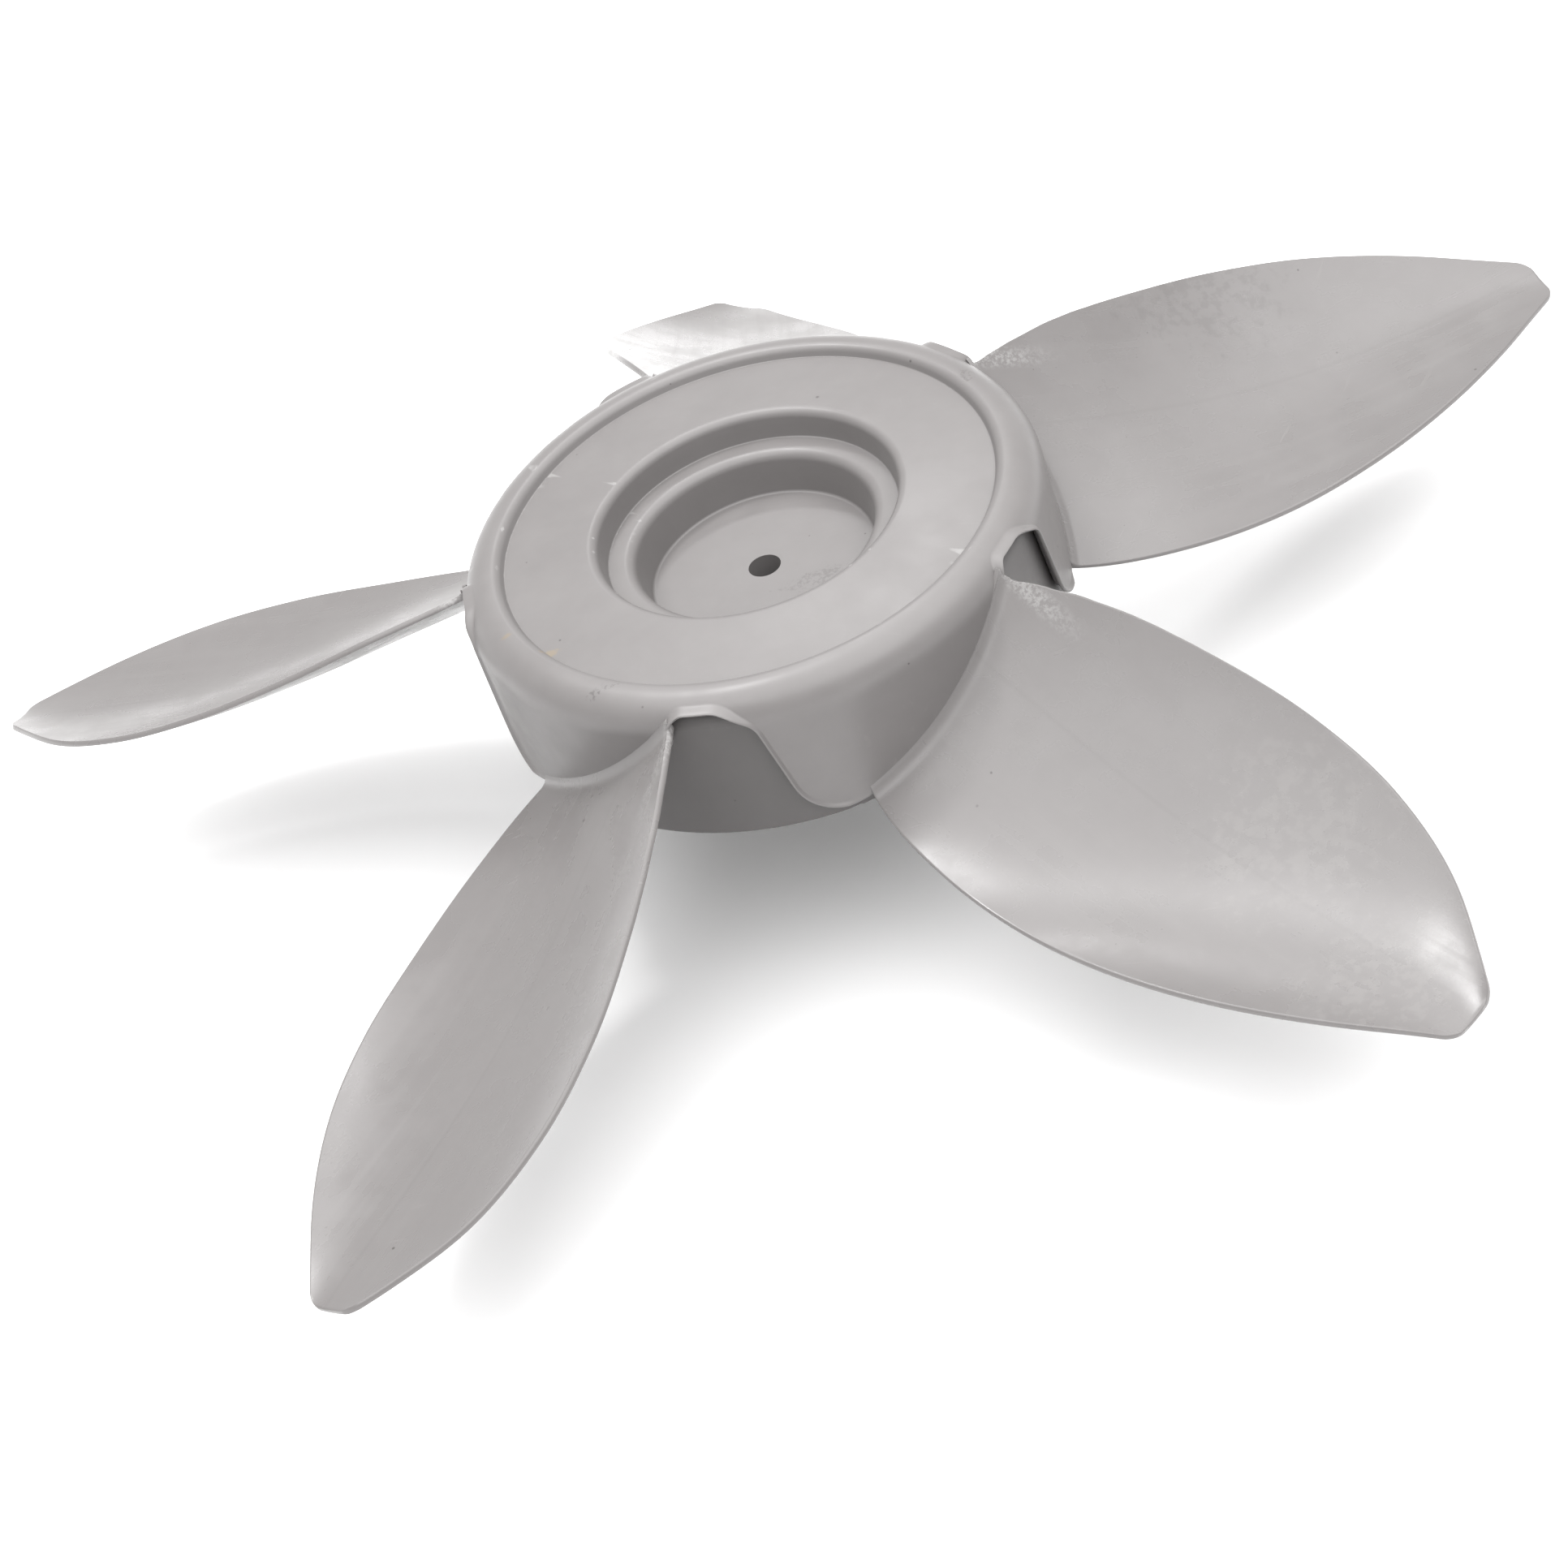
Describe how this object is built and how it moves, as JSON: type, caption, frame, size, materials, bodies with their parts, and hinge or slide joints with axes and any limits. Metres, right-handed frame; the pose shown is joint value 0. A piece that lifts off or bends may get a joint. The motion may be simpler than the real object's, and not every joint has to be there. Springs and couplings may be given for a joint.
{
  "type": "propeller",
  "caption": "Moulded plastic propeller: cupped blades on a round hub with a stepped well, turning on a ball-bearing axle bore.",
  "frame": {"origin": "On the axle's line, in the plane where the rear bearing's inner ring seats on the axle's shoulder", "axes": "+Z along the axle towards the hub's open front face; blade_1 points 60.9 degrees clockwise from +X as seen from the front, and the others follow anticlockwise"},
  "size_m": [0.4335, 0.4273, 0.0958],
  "materials": {
    "shell_plastic": "satin moulded, light warm grey",
    "blade_plastic": "satin moulded, light warm grey",
    "drum_plastic": "matt moulded, mid warm grey",
    "ring_steel": "ground",
    "ball_steel": "polished",
    "cage_steel": "pressed",
    "shield_steel": "pressed, satin",
    "sleeve_aluminium": "turned",
    "clip_steel": "black phosphate",
    "zinc_steel": "bright zinc plate"
  },
  "bodies": {
    "axle_side": {"front_inner_ring": "ring_steel", "rear_inner_ring": "ring_steel", "spacer_sleeve": "sleeve_aluminium"},
    "propeller": {"hub_shell": "shell_plastic", "blade_1": "blade_plastic", "blade_2": "blade_plastic", "blade_3": "blade_plastic", "blade_4": "blade_plastic", "blade_5": "blade_plastic", "inner_drum": "drum_plastic", "front_outer_ring": "ring_steel", "rear_outer_ring": "ring_steel", "front_shields": "shield_steel", "rear_shields": "shield_steel", "retaining_ring": "clip_steel", "drum_washers": "zinc_steel", "drum_screws": "zinc_steel"},
    "front_ball_train": {"front_balls": "ball_steel", "front_cage": "cage_steel"},
    "rear_ball_train": {"rear_balls": "ball_steel", "rear_cage": "cage_steel"}
  },
  "joints": [
    {"name": "propeller_spin", "type": "hinge", "parent": "axle_side", "child": "propeller", "pos_m": [0, 0, 0], "axis": [0, 0, 1], "continuous": true},
    {"name": "front_ball_orbit", "type": "hinge", "parent": "axle_side", "child": "front_ball_train", "pos_m": [0, 0, 0.014], "axis": [0, 0, 1], "continuous": true},
    {"name": "rear_ball_orbit", "type": "hinge", "parent": "axle_side", "child": "rear_ball_train", "pos_m": [0, 0, 0.0035], "axis": [0, 0, 1], "continuous": true}
  ],
  "couplings": [
    {"joint": "front_ball_orbit", "follows": "propeller_spin", "ratio": 0.632},
    {"joint": "rear_ball_orbit", "follows": "propeller_spin", "ratio": 0.632}
  ]
}
